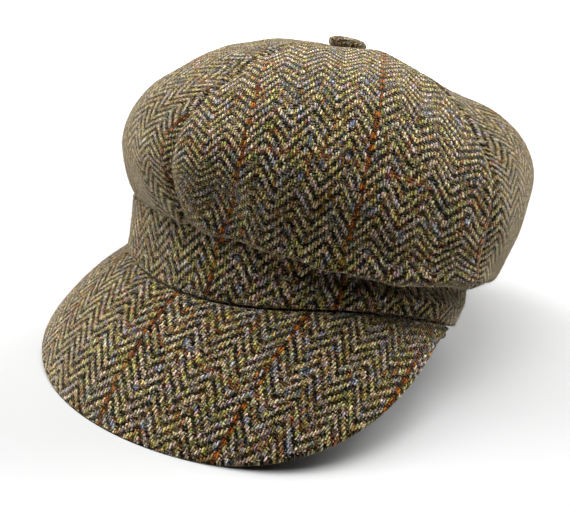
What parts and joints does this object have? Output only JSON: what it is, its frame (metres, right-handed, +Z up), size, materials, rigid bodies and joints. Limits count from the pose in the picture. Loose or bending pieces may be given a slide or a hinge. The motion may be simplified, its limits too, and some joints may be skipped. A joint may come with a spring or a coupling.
{
  "type": "baker boy cap",
  "caption": "Full soft tweed cap with a panelled crown that overhangs an upright band, a covered button on top and a sloping peak; worn on the head.",
  "frame": {"origin": "on the table, under the middle of the cap's bounding box", "axes": "+Z up from the table, the peak toward -Y, the wearer's left toward +X; the cap leans back 18 degrees as it lies"},
  "size_m": [0.2224, 0.2708, 0.1652],
  "materials": {
    "tweed": "woolly herringbone tweed in olive brown with rust overcheck stripes"
  },
  "bodies": {
    "root": {"crown_panel_front_left": "tweed", "crown_panel_back_left": "tweed", "crown_panel_back_right": "tweed", "crown_panel_front_right": "tweed", "crown_button": "tweed", "band": "tweed", "peak": "tweed"}
  },
  "joints": []
}
